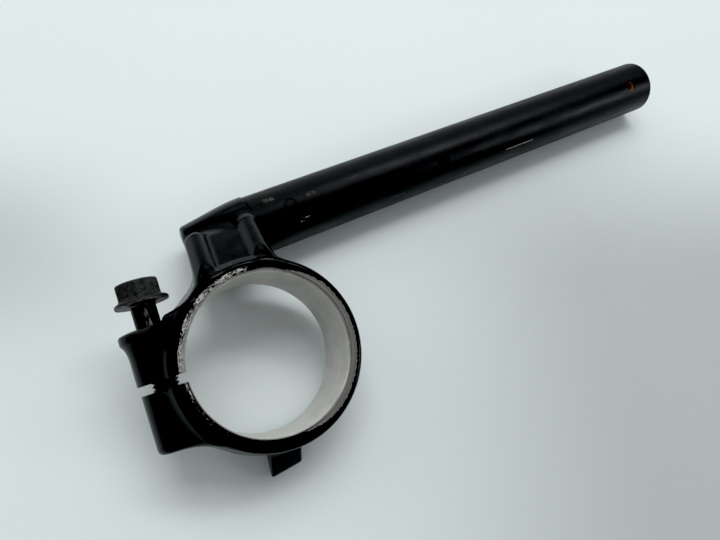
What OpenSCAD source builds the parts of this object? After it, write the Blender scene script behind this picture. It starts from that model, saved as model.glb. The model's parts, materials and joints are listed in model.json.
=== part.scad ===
// Clip-on handlebar for one side of a motorbike: a split clamp that grips the
// fork tube, cast in one piece with a ribbed neck and a tapered boss, a steel
// bar tube on the boss, and the pinch bolt, which is backed off.
// Frame: the origin is the middle of the fork bore. +Z runs along the bore to
// the face with the ribbed neck, +X goes out along the bar, +Y to the boss.

/* [Fork bore and ring] */
// Diameter of the fork bore
bore_d = 50; // [46:0.5:54]
// Length of the ring along the bore, over its rims
ring_h = 24; // [21:0.5:27]
// Wall of the ring at its two rims
rim_wall = 4; // [3:0.25:5]
// Swell of the ring's outside, from the rims to the middle
ring_swell = 2; // [0.5:0.25:3]
// Round on the outer corner of each rim
rim_round = 1.6; // [0.8:0.1:2.2]
// Chamfer at each end of the bore
bore_chamfer = 0.8; // [0.4:0.1:1.2]

/* [Pinch ears] */
// Direction of the split from +X
split_angle = 174; // [166:1:182]
// Width of the split
split_w = 2.8; // [1.5:0.1:4]
// Offset of the split's middle plane towards the bolt head
split_shift = 1; // [-1:0.1:2]
// Distance from the bore wall to the bolt's axis
bolt_out = 5.5; // [5.3:0.1:7]
// Radius of the ears round the bolt
ear_r = 7.4; // [6.6:0.1:8.5]
// Length of the plain ear under the bolt head
plain_ear_l = 15.6; // [12:0.2:18]
// Length of the tapped ear
tapped_ear_l = 17.8; // [14:0.2:21]
// How much shorter the tapped ear's web is where it meets the ring
tapped_taper = 0.9; // [0:0.1:2]
// Radius of the flared seat under the bolt head
seat_r = 9.3; // [8.9:0.1:10.5]
// Thickness of the seat's rim
seat_t = 2.6; // [1.5:0.1:4]
// Length of the flare below the seat's rim
flare_l = 5.6; // [3:0.2:8]
// Width of the spot face beyond the seat's rim
spot_margin = 0.3; // [0.1:0.1:1]
// Round on the outer corner of the tapped ear
ear_corner = 2.6; // [1:0.2:4]
// Length by which the web of the ears runs on past the seat
web_past_seat = 2.2; // [0.5:0.1:3]
// Drop of the web's root below the rim of the ring
web_drop = 0.7; // [0.3:0.1:2]

/* [Bar and boss] */
// Outer diameter of the bar tube
bar_d = 22.2; // [20:0.1:25.4]
// Wall of the bar tube
bar_wall = 2.3; // [1.6:0.1:3]
// Length of the bar tube
bar_l = 195.5; // [150:0.5:240]
// Distance from the fork bore's axis to the bar's axis
bar_out = 43.55; // [42:0.05:48]
// Drop of the bar's axis below the middle of the ring
bar_drop = 17.67; // [14:0.01:22]
// Slope of the bar against the plane of the ring
bar_slope = 6.5; // [3:0.1:10]
// Small end of the boss, along the bar's axis from the fork's axis
boss_start = -6; // [-9:0.1:-3]
// Shoulder on the boss where the tube butts, along the same axis
boss_end = 17.9; // [16:0.1:21]
// Radius of the boss at its small end
boss_small_r = 8.3; // [7:0.1:9.5]
// Chamfer round the boss's small end
boss_chamfer = 0.7; // [0.3:0.1:1.5]
// Step of the boss's shoulder over the tube's surface
shoulder_step = 0.5; // [0.2:0.1:1.5]
// Length of the cylindrical collar at the shoulder
collar_l = 4; // [2:0.5:7]
// Length of the spigot inside the tube
spigot_l = 28; // [15:1:45]
// Clearance of the spigot in the tube
spigot_gap = 0.02; // [0.01:0.01:0.1]
// Depth of the reamed seat for the spigot in the tube's wall
seat_ream = 0.6; // [0.3:0.1:0.9]
// Room left in that seat past the spigot's end
seat_spare = 0.5; // [0.1:0.1:2]
// Chamfer on the spigot's end and round the tube's ends
end_chamfer = 0.5; // [0.3:0.1:1]
// Diameter of the hole that locates the switch housing
switch_hole_d = 5.5; // [4:0.1:7]
// Distance of that hole from the shoulder
switch_hole_at = 78.5; // [60:0.5:110]
// Direction of that hole round the bar, from +Y
switch_hole_angle = 111.5; // [90:0.5:140]
// Diameter of the hole that keeps the bar-end weight
end_hole_d = 4.2; // [3:0.1:5]
// Distance of that hole from the open end
end_hole_in = 12.2; // [8:0.1:20]
// Direction of that hole round the bar, from +Y
end_hole_angle = 98.3; // [80:0.1:140]

/* [Ribbed neck] */
// Height of the neck's crest over the bar's axis, at the fork bore
crest_h = 12.5; // [12:0.1:13.5]
// Place of the crest beyond the bar's axis
crest_y = 0.85; // [-1:0.05:2]
// Slope of the neck's floor
floor_slope = 43.5; // [40:0.5:46]
// Radius of the two ribs
rib_r = 3.4; // [2.8:0.1:4]
// Height of the ribs over the floor
rib_h = 2.45; // [1.5:0.05:3]
// Place of the inner rib's nose along X
inner_rib_at = -4.7; // [-5.5:0.1:-3.5]
// Place of the outer rib's nose along X
outer_rib_at = 13.5; // [12:0.1:14]
// Lean of the two ribs in plan
rib_lean = 14; // [8:0.5:18]
// Distance of the ribs' noses behind the crest
nose_back = 2.1; // [1:0.1:4]
// Draft of the neck's inner side against the bar
side_draft = 4; // [1:0.5:7]
// Thickness that the neck's inner side stands past the boss's small end
side_past_boss = 0.2; // [0.1:0.1:2]
// Waist of the neck's outer side towards the ring
outer_side_flare = 13; // [8:0.5:15]
// Fillet between the neck's inner side and the ring
inner_fillet = 6; // [3:0.5:9]
// Fillet between the neck's outer side and the ring
outer_fillet = 5; // [3:0.5:7]
// Steepness of the wall behind the crest
back_slope = 75; // [60:1:85]

/* [Locating tab] */
// Width of the tab
tab_w = 10.9; // [6:0.1:14]
// Place of the middle of the tab's tip along X
tab_x = -5.7; // [-8:0.1:0]
// Lean of the tab's sides in plan
tab_lean = 11; // [0:1:15]
// Reach of the tab from the middle of the bore
tab_reach = 38; // [36:0.2:42]
// Thickness of the tab's tip
tab_tip = 2.4; // [1:0.1:3]
// Slope of the tab's upper face
tab_slope = 35; // [25:1:45]

/* [Pinch bolt] */
// Nominal diameter of the bolt's thread
bolt_d = 8; // [7:0.5:8]
// Pitch of that thread
thread_pitch = 1.25; // [1:0.25:1.25]
// Diameter of the bolt's plain shank
shank_d = 7.4; // [6.6:0.1:7.8]
// Diameter of the clearance hole in the plain ear
clear_d = 8.6; // [8.4:0.1:9.4]
// Length of the bolt under its head
bolt_l = 30; // [28:1:40]
// Length of the plain shank under the head
shank_l = 12; // [8:0.5:14]
// Gap between the bolt's flange and its seat
backed_off = 7.8; // [0:0.1:10]
// Diameter of the flange
flange_d = 15.9; // [15:0.1:17.9]
// Thickness of the flange at its edge
flange_t = 1.3; // [1:0.1:2]
// Height of the cone on the flange
flange_cone = 0.5; // [0.3:0.1:1.2]
// Width of the hexagon across its flats
hex_af = 12; // [10:0.5:12]
// Trim of the hexagon's corners
hex_trim = 0.3; // [0.1:0.05:0.6]
// Height of the head with its flange
head_h = 7.2; // [6.5:0.1:8.5]
// Turn of the hexagon round the bolt
hex_turn = 7; // [0:1:30]

/* [Hidden] */
$fn = 96;
eps = 0.01;
bore_r = bore_d / 2;
rim_r = bore_r + rim_wall;
swell_r = rim_r + ring_swell;
half_h = ring_h / 2;
bolt_r = bore_r + bolt_out;
seat_v = split_shift + split_w / 2 + plain_ear_l;
tapped_end_v = split_shift - split_w / 2 - tapped_ear_l;
web_end_v = seat_v + web_past_seat;
web_h = half_h - web_drop;
web_in = bolt_out + 6;
spot_r = seat_r + spot_margin;
bar_r = bar_d / 2;
tube_bore_r = bar_r - bar_wall;
seat_bore_r = tube_bore_r + seat_ream;
spigot_r = seat_bore_r - spigot_gap;
collar_r = bar_r + shoulder_step;
bar_end = boss_end + bar_l;
seat_end = boss_end + spigot_l + seat_spare;
rib_sink = rib_r - rib_h;
crest_z = crest_h - bar_drop;
neck_r = rim_r + ring_swell / 2;
side_lean = bar_slope + side_draft;
pitch_d = bolt_d - 0.65 * thread_pitch;
head_v = seat_v + backed_off;
hex_r = hex_af / sqrt(3);
hex_out = hex_r - hex_trim;

// Points of an arc round c, from angle a to angle b
function arc(c, r, a, b, n = 8) =
    [for (i = [0:n]) c + r * [cos(a + (b - a) * i / n), sin(a + (b - a) * i / n)]];

// Height of the neck's floor at y
function floor_z(y) = crest_z + (bar_out + crest_y - y) * tan(floor_slope);

// Centre of a fillet that touches a circle of radius r round c and a line
// through p along d, with n pointing from the line to the open side
function fillet_centre(c, r, p, d, n, f) =
    let (q = p + n * f - c, b = d * q, s = q * q - (r + f) * (r + f))
    c + q + d * (sqrt(b * b - s) - b);

// Frame of the bar: X along its axis, outwards, Z up, square to it
module on_bar()
    translate([0, bar_out, -bar_drop]) rotate([0, -bar_slope, 0]) children();

// Frame of the bolt: Z along its axis to the head, X away from the fork bore
module on_bolt()
    rotate([0, 0, split_angle]) translate([bolt_r, 0, 0]) rotate([90, 0, 0]) children();

// Ring wall, swollen in the middle, with round outer corners
module ring() {
    corner = [rim_r - rim_round, half_h - rim_round];
    rotate_extrude() {
        polygon([
            [bore_r - 2, half_h], [corner.x, half_h], [rim_r, corner.y], [swell_r, 0],
            [rim_r, -corner.y], [corner.x, -half_h], [bore_r - 2, -half_h]]);
        for (side = [-1, 1]) translate([corner.x, side * corner.y]) circle(r = rim_round);
    }
}

// Section of the ears, square to the bolt: round outside, widening to the ring
module ear_section() {
    root = [-web_in + 4.5, web_h];
    touch = atan2(root.y, root.x) - acos(ear_r / norm(root));
    side = ear_r * [cos(touch), sin(touch)];
    circle(r = ear_r);
    polygon([
        [-web_in, root.y], root, side, [side.x, -side.y], [root.x, -root.y], [-web_in, -root.y]]);
}

// Outline of the ears seen along the bore, in the frame of the split
module ear_plan() {
    out = bolt_r + ear_r;
    low = [out - ear_corner, -tapped_end_v - ear_corner];
    root_v = tapped_end_v + tapped_taper;
    polygon(concat(
        [[0, -web_end_v], [bolt_r - bolt_out + 0.2, -web_end_v], [bolt_r - 3, -seat_v - 0.4],
         [bolt_r - 1, -seat_v], [out + 2, -seat_v]],
        [[out + 2, -split_shift], [out, -split_shift]],
        arc(low, ear_corner, 0, 90),
        [[bolt_r, -tapped_end_v], [bore_r, -root_v], [0, -root_v]]));
}

// Flared seat under the bolt head, a turned form round the bolt
module seat_flare() {
    rise = seat_r - ear_r;
    hollow = (flare_l * flare_l + rise * rise) / (2 * rise);
    foot = seat_v - seat_t - flare_l;
    sweep = asin(flare_l / hollow);
    translate([0, 0, split_shift])
        cylinder(r = ear_r, h = foot + eps - split_shift);
    rotate_extrude()
        polygon(concat(
            [[0, foot], [ear_r, foot]],
            [for (i = [1:6], a = sweep * i / 6)
                [ear_r + hollow * (1 - cos(a)), foot + hollow * sin(a)]],
            [[seat_r, seat_v - 0.6], [seat_r - 0.6, seat_v], [0, seat_v]]));
}

module ears() {
    intersection() {
        on_bolt() translate([0, 0, tapped_end_v])
            linear_extrude(web_end_v - tapped_end_v) ear_section();
        rotate([0, 0, split_angle]) linear_extrude(ring_h, center = true) ear_plan();
    }
    on_bolt() seat_flare();
}

// Plan of the neck with one of its sides, which passes through the point p
// and leads by a fillet into the ring round c; way is -1 inside, 1 outside
module neck_side(c, p, flare, fillet, way) {
    d = [sin(flare), cos(flare)];
    n = way * [cos(flare), -sin(flare)];
    f = fillet_centre(c, neck_r, p, d, n, fillet);
    far = p + 20 * d;
    difference() {
        polygon([
            c, c + (f - c) * neck_r / (neck_r + fillet), f - n * fillet, far,
            far - [90 * way, 0], c - [90 * way, 0]]);
        translate(f) circle(r = fillet);
    }
}

// Both sides of the neck in one: the inner one leans with the draft, the
// outer one stands square to the bar
module neck_sides() {
    end_x = boss_start * cos(bar_slope);
    end_z = boss_start * sin(bar_slope) - bar_drop;
    inner_x = end_x * cos(side_lean) + end_z * sin(side_lean) - side_past_boss;
    intersection() {
        rotate([0, -side_lean, 0]) linear_extrude(120, center = true)
            neck_side([web_h / 2 * sin(side_lean), 0], [inner_x, bar_out], 0, inner_fillet, -1);
        on_bar() linear_extrude(120, center = true)
            neck_side([(bar_drop + web_h / 2) * sin(bar_slope), -bar_out], [boss_end, 0],
                outer_side_flare, outer_fillet, 1);
    }
}

// Section of the neck along Y: floor, crest, back wall and underside
module neck_section() {
    back = crest_h - boss_small_r - 1;
    polygon([
        [rim_r - 6, web_h], [bar_out + crest_y - (web_h - crest_z) / tan(floor_slope), web_h],
        [bar_out + crest_y, crest_z], [bar_out + crest_y + back / tan(back_slope), crest_z - back],
        [bar_out + 1, -bar_drop], [bar_out - 6, -bar_drop - boss_small_r + 1.8],
        [rim_r + 0.5, -web_h], [rim_r - 6, -web_h]]);
}

// Round rib down the neck's floor, ending in a round nose over the boss
module rib(at) {
    nose_y = bar_out + crest_y - nose_back;
    run = nose_y - rim_r + 5;
    rise = run * tan(floor_slope);
    plan = run / cos(rib_lean);
    translate([at, nose_y, floor_z(nose_y) - rib_sink / cos(floor_slope)])
        rotate([0, 0, -rib_lean]) rotate([-atan2(rise, plan), 0, 0]) {
            sphere(r = rib_r);
            rotate([90, 0, 0]) cylinder(r = rib_r, h = norm([rise, plan]));
        }
}

module neck() {
    intersection() {
        on_bar() translate([-50, -bar_out, -40]) cube([50 + boss_end, bar_out + 20, 100]);
        union() {
            intersection() {
                neck_sides();
                rotate([90, 0, 90]) linear_extrude(120, center = true) neck_section();
            }
            intersection() {
                translate([-ring_h, 0, -bar_drop]) cube([3 * ring_h, bar_out + 20, bar_drop + web_h]);
                union() {
                    rib(inner_rib_at);
                    rib(outer_rib_at);
                }
            }
        }
    }
}

// Tapered boss with its collar, shoulder and spigot, turned round the bar
module boss() {
    tip = boss_end + spigot_l;
    on_bar() rotate([0, 90, 0]) rotate_extrude()
        polygon([
            [0, boss_start], [boss_small_r - boss_chamfer, boss_start],
            [boss_small_r, boss_start + boss_chamfer], [collar_r, boss_end - collar_l],
            [collar_r, boss_end], [spigot_r, boss_end], [spigot_r, tip - end_chamfer],
            [spigot_r - end_chamfer, tip], [0, tip]]);
}

// Wedge-shaped locating tab, level with the ring's lower rim
module tab() {
    foot = -half_h + web_drop;
    root_y = -rim_r + 2;
    length = tab_reach + root_y;
    left = tab_x - tab_w / 2;
    lean = length * tan(tab_lean);
    intersection() {
        linear_extrude(ring_h, center = true)
            polygon([
                [left, -tab_reach], [left + tab_w, -tab_reach], [left + tab_w + lean, root_y],
                [left + lean, root_y]]);
        rotate([90, 0, 90]) linear_extrude(3 * ring_h, center = true)
            polygon([
                [root_y + 1, foot], [-tab_reach - 1, foot], [-tab_reach - 1, foot + tab_tip],
                [-tab_reach, foot + tab_tip],
                [root_y + 1, foot + tab_tip + (length + 1) * tan(tab_slope)]]);
    }
}

// Fork bore with a chamfer at each end
module fork_bore() {
    cylinder(r = bore_r, h = 2 * ring_h, center = true);
    for (end = [0, 1]) mirror([0, 0, end])
        translate([0, 0, half_h - bore_chamfer])
            cylinder(r1 = bore_r, r2 = bore_r + 2 * bore_chamfer, h = 2 * bore_chamfer);
}

// Split, spot face and bolt hole: clear in the plain ear, tapped in the other
module pinch_cuts() {
    rotate([0, 0, split_angle])
        translate([bore_r - 4, -split_shift - split_w / 2, -ring_h])
            cube([bolt_out + seat_r + 10, split_w, 2 * ring_h]);
    on_bolt() {
        translate([0, 0, seat_v]) cylinder(r = spot_r, h = 20);
        translate([0, 0, split_shift]) cylinder(d = clear_d, h = seat_v);
        translate([0, 0, tapped_end_v - 1]) cylinder(d = pitch_d, h = tapped_ear_l + 2);
    }
}

module clamp() {
    color("#17181a") difference() {
        union() {
            ring();
            ears();
            neck();
            boss();
            tab();
        }
        fork_bore();
        pinch_cuts();
    }
}

module bar_tube() {
    color("#0f1011") on_bar() difference() {
        rotate([0, 90, 0]) rotate_extrude()
            polygon([
                [seat_bore_r, boss_end], [bar_r, boss_end], [bar_r, bar_end - end_chamfer],
                [bar_r - end_chamfer, bar_end], [tube_bore_r, bar_end], [tube_bore_r, seat_end],
                [seat_bore_r, seat_end]]);
        translate([boss_end + switch_hole_at, 0, 0]) rotate([switch_hole_angle - 90, 0, 0])
            cylinder(d = switch_hole_d, h = bar_d);
        translate([bar_end - end_hole_in, 0, 0]) rotate([end_hole_angle - 90, 0, 0])
            cylinder(d = end_hole_d, h = bar_d);
    }
}

// Flange bolt, turned apart from its hexagon
module pinch_bolt() {
    thread_r = pitch_d / 2 - 0.01;
    color("#3a3b3a") on_bolt() translate([0, 0, head_v]) {
        rotate_extrude()
            polygon([
                [0, -bolt_l], [thread_r - 0.8, -bolt_l], [thread_r, -bolt_l + 0.8],
                [thread_r, -shank_l], [shank_d / 2, -shank_l + 0.2], [shank_d / 2, 0],
                [flange_d / 2 - 0.3, 0], [flange_d / 2, 0.3], [flange_d / 2, flange_t - 0.3],
                [flange_d / 2 - 0.3, flange_t],
                [hex_r + 0.1, flange_t + flange_cone], [0, flange_t + flange_cone]]);
        intersection() {
            rotate([0, 0, hex_turn]) cylinder(r = hex_r, h = head_h, $fn = 6);
            rotate_extrude()
                polygon([
                    [0, flange_t], [hex_out, flange_t], [hex_out, head_h - 1],
                    [hex_af / 2 - 0.4, head_h], [0, head_h]]);
        }
    }
}

clamp();
bar_tube();
pinch_bolt();
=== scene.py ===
"""Dresses the clip-on handlebar: smooth cast clamp, bar tube and pinch bolt, on a studio floor."""

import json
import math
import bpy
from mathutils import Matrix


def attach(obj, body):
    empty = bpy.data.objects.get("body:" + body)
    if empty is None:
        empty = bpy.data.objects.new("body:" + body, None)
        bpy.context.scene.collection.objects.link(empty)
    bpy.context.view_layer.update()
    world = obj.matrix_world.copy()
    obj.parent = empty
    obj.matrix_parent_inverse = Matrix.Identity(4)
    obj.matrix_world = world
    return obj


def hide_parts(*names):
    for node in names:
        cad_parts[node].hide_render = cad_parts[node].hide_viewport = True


bl_info = {
    "name": "Clip-on handlebar",
    "version": (1, 0, 0),
    "blender": (4, 5, 0),
    "location": "View3D > Sidebar > Clip-on",
    "description": "Builds the cast clamp, bar tube, pinch bolt and studio of a clip-on handlebar",
    "category": "Object",
}

import bmesh
import bpy
import numpy as np
from bpy.props import FloatProperty, FloatVectorProperty, PointerProperty
from mathutils import Matrix

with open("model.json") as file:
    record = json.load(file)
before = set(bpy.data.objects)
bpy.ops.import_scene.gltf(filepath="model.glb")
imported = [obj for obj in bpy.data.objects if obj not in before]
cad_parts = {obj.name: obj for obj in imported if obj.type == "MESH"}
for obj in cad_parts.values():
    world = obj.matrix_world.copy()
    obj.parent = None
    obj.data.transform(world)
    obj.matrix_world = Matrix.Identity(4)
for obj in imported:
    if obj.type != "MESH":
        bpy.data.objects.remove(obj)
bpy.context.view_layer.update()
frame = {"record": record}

MM = 0.001
MOUNTS = {m["name"]: m for m in frame["record"]["mounts"]}
BORE_R = MOUNTS["fork_bore"]["dims"]["r_mm"]
BAR_R = MOUNTS["bar"]["dims"]["r_mm"]
TUBE_BORE_R = MOUNTS["bar_end_bore"]["dims"]["r_mm"]


def length(name, description, mm, low=0.0, high=300.0):
    """A length in millimetres, shown in the scene's unit."""
    return FloatProperty(
        name=name, description=description, default=mm * MM, min=low * MM, max=high * MM,
        subtype="DISTANCE", unit="LENGTH", precision=5)


def angle(name, description, degrees):
    """An angle given in degrees."""
    return FloatProperty(
        name=name, description=description, default=math.radians(degrees),
        subtype="ANGLE", unit="ROTATION")


def colour(name, description, rgb):
    """A linear colour."""
    return FloatVectorProperty(
        name=name, description=description, default=rgb, size=3, min=0.0, max=1.0,
        subtype="COLOR")


class ClampSizes(bpy.types.PropertyGroup):
    """Sizes of the cast clamp"""

    ring_height: length("Ring height", "Length of the ring along the bore", 24.0)
    rim_radius: length("Rim radius", "Outer radius of the ring at its rims", 29.35)
    swell_radius: length("Swell radius", "Outer radius of the ring at its parting line", 31.0)
    rim_round: length("Rim round", "Round on the outer corner of the rims", 1.2)
    bore_chamfer: length("Bore chamfer", "Chamfer at each end of the bore", 0.8)
    split_angle: angle("Split angle", "Direction of the split from +X", 174.0)
    split_width: length("Split width", "Width of the split", 2.8)
    split_shift: length("Split shift", "Offset of the split towards the bolt head", 1.0)
    bolt_out: length("Bolt radius", "Distance of the bolt's axis from the bore's axis", 30.5)
    ear_radius: length("Ear radius", "Radius of the ears round the bolt", 7.4)
    seat_height: length("Seat height", "Place of the bolt's seat along the bolt", 18.0)
    seat_radius: length("Seat radius", "Radius of the flared seat", 9.3)
    web_end: length("Web end", "Place where the web past the seat ends", 20.2)
    tapped_end: length("Tapped ear", "Reach of the tapped ear below the split's axis", 18.2)
    web_height: length("Web height", "Half height of the web where it leaves the ring", 11.3)
    bar_out: length("Bar distance", "Distance of the bar's axis from the bore's axis", 43.55)
    bar_drop: length("Bar drop", "Drop of the bar's axis below the ring's middle", 17.67)
    bar_slope: angle("Bar slope", "Slope of the bar against the ring", 6.5)
    boss_start: length("Boss start", "Small end of the boss short of the fork's axis", 6.0)
    boss_end: length("Shoulder", "Place of the shoulder along the bar", 17.9)
    boss_radius: length("Boss radius", "Radius of the boss at its small end", 8.3)
    collar_radius: length("Collar radius", "Radius of the boss at the shoulder", 11.6)
    collar_length: length("Collar length", "Length of the straight collar", 4.0)
    spigot_radius: length("Spigot radius", "Radius of the spigot inside the tube", 9.38)
    spigot_length: length("Spigot length", "Length of the spigot inside the tube", 28.0)
    crest_height: length("Crest height", "Height of the neck's crest over the bar's axis", 12.5)
    crest_back: length("Crest place", "Place of the crest beyond the bar's axis", 0.85)
    floor_slope: angle("Neck slope", "Slope of the neck's floor", 43.5)
    rib_radius: length("Rib radius", "Radius of the two ribs", 3.4)
    rib_height: length("Rib height", "Height of the ribs over the floor", 2.45)
    inner_rib: length("Inner rib", "Distance of the inner rib's nose from the YZ plane", 4.7)
    outer_rib: length("Outer rib", "Distance of the outer rib's nose from the YZ plane", 13.5)
    rib_lean: angle("Rib lean", "Lean of the ribs in plan", 14.0)
    tab_width: length("Tab width", "Width of the locating tab", 10.9)
    tab_lean: angle("Tab lean", "Lean of the tab's sides in plan", 11.0)
    tab_place: length("Tab place", "Distance of the tab's middle from the YZ plane", 5.7)
    tab_reach: length("Tab reach", "Reach of the tab from the bore's axis", 38.0)
    tab_tip: length("Tab tip", "Thickness of the tab's tip", 2.4)
    tab_slope: angle("Tab slope", "Slope of the tab's upper face", 35.0)
    grid: length("Grid", "Cell size of the casting's skin", 0.6, 0.3, 2.0)


class BarSizes(bpy.types.PropertyGroup):
    """Sizes of the bar tube"""

    tube_length: length("Length", "Length of the bar tube", 195.5)
    edge: length("Edge", "Chamfer round the tube's ends", 0.5)
    seat_radius: length("Seat radius", "Radius of the reamed seat for the spigot", 9.4)
    switch_hole: length("Switch hole", "Diameter of the switch housing's hole", 5.5)
    switch_hole_at: length("Switch hole place", "Distance of that hole from the shoulder", 78.5)
    switch_hole_angle: angle("Switch hole angle", "Direction of that hole from +Y", 111.5)
    end_hole: length("End hole", "Diameter of the hole near the open end", 4.2)
    end_hole_in: length("End hole place", "Distance of that hole from the open end", 12.2)
    end_hole_angle: angle("End hole angle", "Direction of that hole from +Y", 98.3)


class BoltSizes(bpy.types.PropertyGroup):
    """Sizes of the pinch bolt"""

    backed_off: length("Backed off", "Gap between the flange and its seat", 7.8)
    bolt_length: length("Length", "Length under the head", 30.0)
    shank_length: length("Shank length", "Length of the plain shank", 12.0)
    shank_radius: length("Shank radius", "Radius of the plain shank", 3.7)
    crest_radius: length("Crest radius", "Radius of the thread's crests", 3.95)
    thread_depth: length("Thread depth", "Depth of the thread", 0.7)
    pitch: length("Pitch", "Pitch of the thread", 1.25)
    flange_radius: length("Flange radius", "Radius of the flange", 7.95)
    flange_thickness: length("Flange", "Thickness of the flange's edge", 1.3)
    cone_height: length("Cone", "Height of the cone on the flange", 0.5)
    hex_flats: length("Hexagon", "Width across the flats", 12.0)
    head_height: length("Head height", "Height of the head with its flange", 7.2)
    hex_turn: angle("Hexagon turn", "Turn of the hexagon", 7.0)


class Finishes(bpy.types.PropertyGroup):
    """Colours and gloss of the finishes"""

    clamp_paint: colour("Clamp paint", "Gloss paint on the casting", (0.0045, 0.0048, 0.0052))
    bar_paint: colour("Bar paint", "Paint on the bar tube", (0.0045, 0.0048, 0.0052))
    bare_metal: colour("Bare aluminium", "Machined and chipped aluminium", (0.70, 0.69, 0.65))
    oxide: colour("Oxide", "Dark oxide on the bolt", (0.026, 0.027, 0.026))
    dust: colour("Dust", "Dust and dried dirt", (0.28, 0.27, 0.24))
    rust: colour("Rust", "Rust at cut edges of the tube", (0.22, 0.135, 0.075))
    floor: colour("Floor", "Pale studio floor", (0.73, 0.785, 0.78))


def sizes_of(group):
    """The group's lengths in millimetres and its angles in degrees, by name."""
    found = {}
    for prop in type(group).bl_rna.properties:
        if prop.identifier in {"name", "rna_type"}:
            continue
        value = getattr(group, prop.identifier)
        found[prop.identifier] = math.degrees(value) if prop.subtype == "ANGLE" else value / MM
    return type("Sizes", (), found)


# Shapes, each given by its distance in millimetres.


def join(a, b, k):
    """Union of two distances with a fillet of about k."""
    h = np.clip(0.5 + 0.5 * (b - a) / k, 0.0, 1.0)
    return b + (a - b) * h - k * h * (1.0 - h)


def meet(a, b, k):
    """Intersection of two distances with a rounded edge of about k."""
    return -join(-a, -b, k)


def cut(a, b, k):
    """The first distance without the second, with a rounded edge."""
    return -join(-a, b, k)


def smoothstep(x, low, high):
    """Goes smoothly from 0 to 1 as x goes from low to high."""
    t = np.clip((x - low) / (high - low), 0.0, 1.0)
    return t * t * (3.0 - 2.0 * t)


def unit(v):
    v = np.asarray(v, float)
    return v / np.linalg.norm(v)


def bar_frame(s):
    """Origin and axes of the bar: outwards, sideways and up."""
    slope = math.radians(s.bar_slope)
    out = np.array([math.cos(slope), 0.0, math.sin(slope)])
    lift = np.array([-math.sin(slope), 0.0, math.cos(slope)])
    return np.array([0.0, s.bar_out, -s.bar_drop]), out, np.array([0.0, 1.0, 0.0]), lift


def bolt_frame(s):
    """Point on the bolt's axis and its axes: away from the bore, to the head, up."""
    turn = math.radians(s.split_angle)
    away = np.array([math.cos(turn), math.sin(turn), 0.0])
    head = np.array([math.sin(turn), -math.cos(turn), 0.0])
    return away * s.bolt_out, away, head, np.array([0.0, 0.0, 1.0])


def ring_wall(r, z, s):
    """Distance to the drafted outer wall, which swells at the parting line."""
    half = s.ring_height / 2
    n = unit([half, s.swell_radius - s.rim_radius])
    height = np.sqrt(z * z + 0.09)
    return (r - s.swell_radius) * n[0] + height * n[1]


def ring_field(p, s):
    r = np.hypot(p[:, 0], p[:, 1])
    return meet(ring_wall(r, p[:, 2], s), np.abs(p[:, 2]) - s.ring_height / 2, s.rim_round * 1.2)


def ears_field(p, s):
    """Pinch ears: two barrels round the bolt, widening in a web to the ring."""
    draft, root_in, web_start = 0.008, 7.0, 11.5
    rim_thickness, flare_run, spot_margin = 2.6, 5.6, 0.3
    origin, away, head, up = bolt_frame(s)
    q = p - origin
    x, v, z = q @ away, q @ head, np.abs(q @ up)
    radius = s.ear_radius + draft * np.minimum(v, 0.0)
    reach = np.hypot(x, z)
    root = np.array([-root_in, s.web_height])
    touch = math.atan2(root[1], root[0]) - math.acos(s.ear_radius / np.hypot(*root))
    n = np.array([math.cos(touch), math.sin(touch)])
    beyond = n[0] * z - n[1] * x
    flank = n[0] * x + n[1] * z - radius
    section = np.where(beyond > 0.0, flank, reach - radius)
    section = meet(section, z - s.web_height, 1.4)
    low_end = -v - s.tapped_end + 0.05 * np.clip(-x, 0.0, 8.0)
    section = meet(section, low_end, 1.8)
    section = np.maximum(meet(section, v - s.web_end, 1.6), -x - web_start)
    spot = meet(reach - s.seat_radius - spot_margin, s.seat_height - v, 0.6)
    section = cut(section, spot, 1.0)
    rise, foot = s.seat_radius - s.ear_radius, s.seat_height - rim_thickness - flare_run
    hollow = (flare_run ** 2 + rise ** 2) / (2 * rise)
    climb = np.clip(v - foot, 0.0, flare_run)
    flare_r = s.ear_radius + hollow - np.sqrt(hollow * hollow - climb * climb)
    lean = np.cos(np.arcsin(np.clip(climb / hollow, 0.0, 1.0)) * (v < foot + flare_run))
    flare = meet((reach - flare_r) * lean, v - s.seat_height, 0.9)
    flare = meet(flare, s.split_shift - v, 0.4)
    return join(section, flare, 1.6)


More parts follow.
